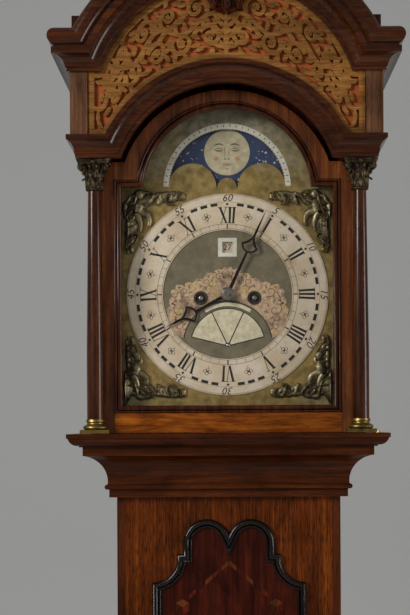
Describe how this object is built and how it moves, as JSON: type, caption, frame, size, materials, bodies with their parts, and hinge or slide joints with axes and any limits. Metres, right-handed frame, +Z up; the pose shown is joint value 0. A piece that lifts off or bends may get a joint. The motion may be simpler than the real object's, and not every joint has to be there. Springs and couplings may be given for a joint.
{
  "type": "longcase clock",
  "caption": "Tall mahogany longcase clock with a break-arch hood, pierced fret frieze, turned columns, moon dial, lobed trunk door, weights and a long pendulum.",
  "frame": {"origin": "on the floor under the middle of the bounding box", "axes": "+Z up, the dial faces -Y, +X to the right of someone facing the dial"},
  "size_m": [0.48, 0.265, 2.194],
  "materials": {
    "mahogany": "dark polished",
    "figured": "polished figured veneer",
    "oak": "waxed oak",
    "ebonised": "black polished",
    "fretwood": "golden brown",
    "cloth": "woven",
    "glass": "clear",
    "bronze": "dark cast",
    "brass": "polished",
    "dialbrass": "aged",
    "silvered": "silvered",
    "blued": "blued",
    "steel": "polished",
    "painted": "painted",
    "gut": "gut"
  },
  "bodies": {
    "case": {"backboard": "oak", "bracket_feet": "mahogany", "base_carcase": "mahogany", "base_moulding": "mahogany", "trunk_carcase": "figured", "throat_moulding": "mahogany", "seatboard": "oak", "trunk_hinge_leaves": "brass", "movement_plates": "brass", "plate_pillars": "brass", "back_cock": "brass", "bell": "bronze", "dial_plate": "dialbrass", "chapter_ring": "silvered", "spandrels": "bronze", "going_line": "gut", "strike_line": "gut"},
    "trunk_door": {"trunk_door_panel": "figured", "trunk_door_moulding": "ebonised", "trunk_door_hinges": "brass", "trunk_door_lock": "brass"},
    "hood": {"hood_base_frame": "mahogany", "hood_sides": "mahogany", "hood_frieze": "mahogany", "hood_fret": "fretwood", "fret_cloth": "cloth", "hood_archivolt": "mahogany", "hood_cornice": "mahogany", "hood_roof": "mahogany", "hood_keystone": "mahogany", "dial_mask": "oak"},
    "hood_door": {"hood_door_frame": "mahogany", "hood_door_glass": "glass", "column_shafts": "mahogany", "column_capitals": "bronze", "column_bases": "brass", "hood_door_hinges": "brass"},
    "centre_arbor": {"centre_wheel": "brass", "cannon_wheel": "brass", "minute_hand": "blued"},
    "great_wheel": {"going_great_wheel": "brass"},
    "third_arbor": {"third_wheel": "brass"},
    "escape_arbor": {"escape_wheel": "brass"},
    "pallet_arbor": {"pallets": "steel"},
    "minute_arbor": {"minute_wheel": "brass"},
    "hour_pipe": {"hour_wheel": "brass", "hour_hand": "blued"},
    "pendulum": {"pendulum_rod": "steel", "pendulum_bob": "brass"},
    "winding_barrel": {"going_barrel": "brass"},
    "strike_wheel": {"strike_great_wheel": "brass"},
    "strike_winding_barrel": {"strike_barrel": "brass"},
    "pin_arbor": {"pin_wheel": "brass"},
    "hammer": {"bell_hammer": "steel"},
    "moon": {"moon_disc": "painted"},
    "date": {"date_ring": "silvered"},
    "going_weight_body": {"going_weight": "brass"},
    "strike_weight_body": {"strike_weight": "brass"},
    "going_pulley_body": {"going_pulley": "brass"},
    "strike_pulley_body": {"strike_pulley": "brass"}
  },
  "joints": [
    {"name": "hood_slide", "type": "slide", "parent": "case", "child": "hood", "axis": [0, -1, 0], "range_m": [0, 0.26]},
    {"name": "hood_door_swing", "type": "hinge", "parent": "hood", "child": "hood_door", "pos_m": [0.2005, -0.086, 1.7], "axis": [0, 0, 1], "range_deg": [0, 105]},
    {"name": "trunk_door_swing", "type": "hinge", "parent": "case", "child": "trunk_door", "pos_m": [0.1102, -0.0518, 1], "axis": [0, 0, 1], "range_deg": [0, 110]},
    {"name": "centre_turn", "type": "hinge", "parent": "case", "child": "centre_arbor", "pos_m": [0, 0, 1.72], "axis": [0, 1, 0], "continuous": true},
    {"name": "great_turn", "type": "hinge", "parent": "case", "child": "great_wheel", "pos_m": [0.0375, 0, 1.715], "axis": [0, 1, 0], "continuous": true},
    {"name": "third_turn", "type": "hinge", "parent": "case", "child": "third_arbor", "pos_m": [0.00988, 0, 1.74716], "axis": [0, 1, 0], "continuous": true},
    {"name": "escape_turn", "type": "hinge", "parent": "case", "child": "escape_arbor", "pos_m": [0, 0, 1.77034], "axis": [0, 1, 0], "continuous": true},
    {"name": "minute_turn", "type": "hinge", "parent": "case", "child": "minute_arbor", "pos_m": [0, 0, 1.686], "axis": [0, 1, 0], "continuous": true},
    {"name": "hour_turn", "type": "hinge", "parent": "case", "child": "hour_pipe", "pos_m": [0, 0, 1.72], "axis": [0, 1, 0], "continuous": true},
    {"name": "pendulum_swing", "type": "hinge", "parent": "case", "child": "pendulum", "pos_m": [0, 0.082, 1.79734], "axis": [0, 1, 0], "range_deg": [-3, 3]},
    {"name": "pallet_rock", "type": "hinge", "parent": "case", "child": "pallet_arbor", "pos_m": [0, 0.04, 1.79734], "axis": [0, 1, 0], "range_deg": [-3, 3]},
    {"name": "going_weight_travel", "type": "slide", "parent": "case", "child": "going_weight_body", "axis": [0, 0, 1], "range_m": [0, 0.85], "deforming": ["going_line"]},
    {"name": "strike_weight_travel", "type": "slide", "parent": "case", "child": "strike_weight_body", "axis": [0, 0, 1], "range_m": [0, 0.85], "deforming": ["strike_line"]},
    {"name": "going_barrel_turn", "type": "hinge", "parent": "case", "child": "winding_barrel", "pos_m": [0.0375, 0.03, 1.715], "axis": [0, 1, 0], "range_deg": [-1, 4640]},
    {"name": "strike_barrel_turn", "type": "hinge", "parent": "case", "child": "strike_winding_barrel", "pos_m": [-0.0375, 0.03, 1.715], "axis": [0, 1, 0], "range_deg": [-4640, 1]},
    {"name": "going_pulley_turn", "type": "hinge", "parent": "going_weight_body", "child": "going_pulley_body", "pos_m": [0.0375, 0.0295, 0.718], "axis": [0, 1, 0], "range_deg": [-1, 2322]},
    {"name": "strike_pulley_turn", "type": "hinge", "parent": "strike_weight_body", "child": "strike_pulley_body", "pos_m": [-0.0375, 0.0295, 0.718], "axis": [0, 1, 0], "range_deg": [-2322, 1]},
    {"name": "strike_turn", "type": "hinge", "parent": "case", "child": "strike_wheel", "pos_m": [-0.0375, 0, 1.715], "axis": [0, 1, 0], "continuous": true},
    {"name": "pin_turn", "type": "hinge", "parent": "case", "child": "pin_arbor", "pos_m": [-0.0405, 0, 1.74833], "axis": [0, 1, 0], "continuous": true},
    {"name": "hammer_lift", "type": "hinge", "parent": "case", "child": "hammer", "pos_m": [-0.052, 0.03, 1.78], "axis": [0, 1, 0], "range_deg": [-12, 4], "stiffness_Nm_per_rad": 0.15},
    {"name": "moon_turn", "type": "hinge", "parent": "case", "child": "moon", "pos_m": [0, -0.024, 1.866], "axis": [0, 1, 0], "continuous": true},
    {"name": "date_turn", "type": "hinge", "parent": "case", "child": "date", "pos_m": [0, -0.026, 1.72], "axis": [0, 1, 0], "continuous": true}
  ],
  "couplings": [
    {"joint": "great_turn", "follows": "centre_turn", "ratio": -0.083333},
    {"joint": "third_turn", "follows": "centre_turn", "ratio": -7.5},
    {"joint": "escape_turn", "follows": "centre_turn", "ratio": 60},
    {"joint": "minute_turn", "follows": "centre_turn", "ratio": -1},
    {"joint": "hour_turn", "follows": "centre_turn", "ratio": 0.083333},
    {"joint": "pallet_rock", "follows": "pendulum_swing", "ratio": 1},
    {"joint": "going_barrel_turn", "follows": "going_weight_travel", "rad_per_m": 95.238},
    {"joint": "strike_barrel_turn", "follows": "strike_weight_travel", "rad_per_m": -95.238},
    {"joint": "going_pulley_turn", "follows": "going_weight_travel", "rad_per_m": 47.619},
    {"joint": "strike_pulley_turn", "follows": "strike_weight_travel", "rad_per_m": -47.619},
    {"joint": "pin_turn", "follows": "strike_turn", "ratio": -10.5}
  ]
}
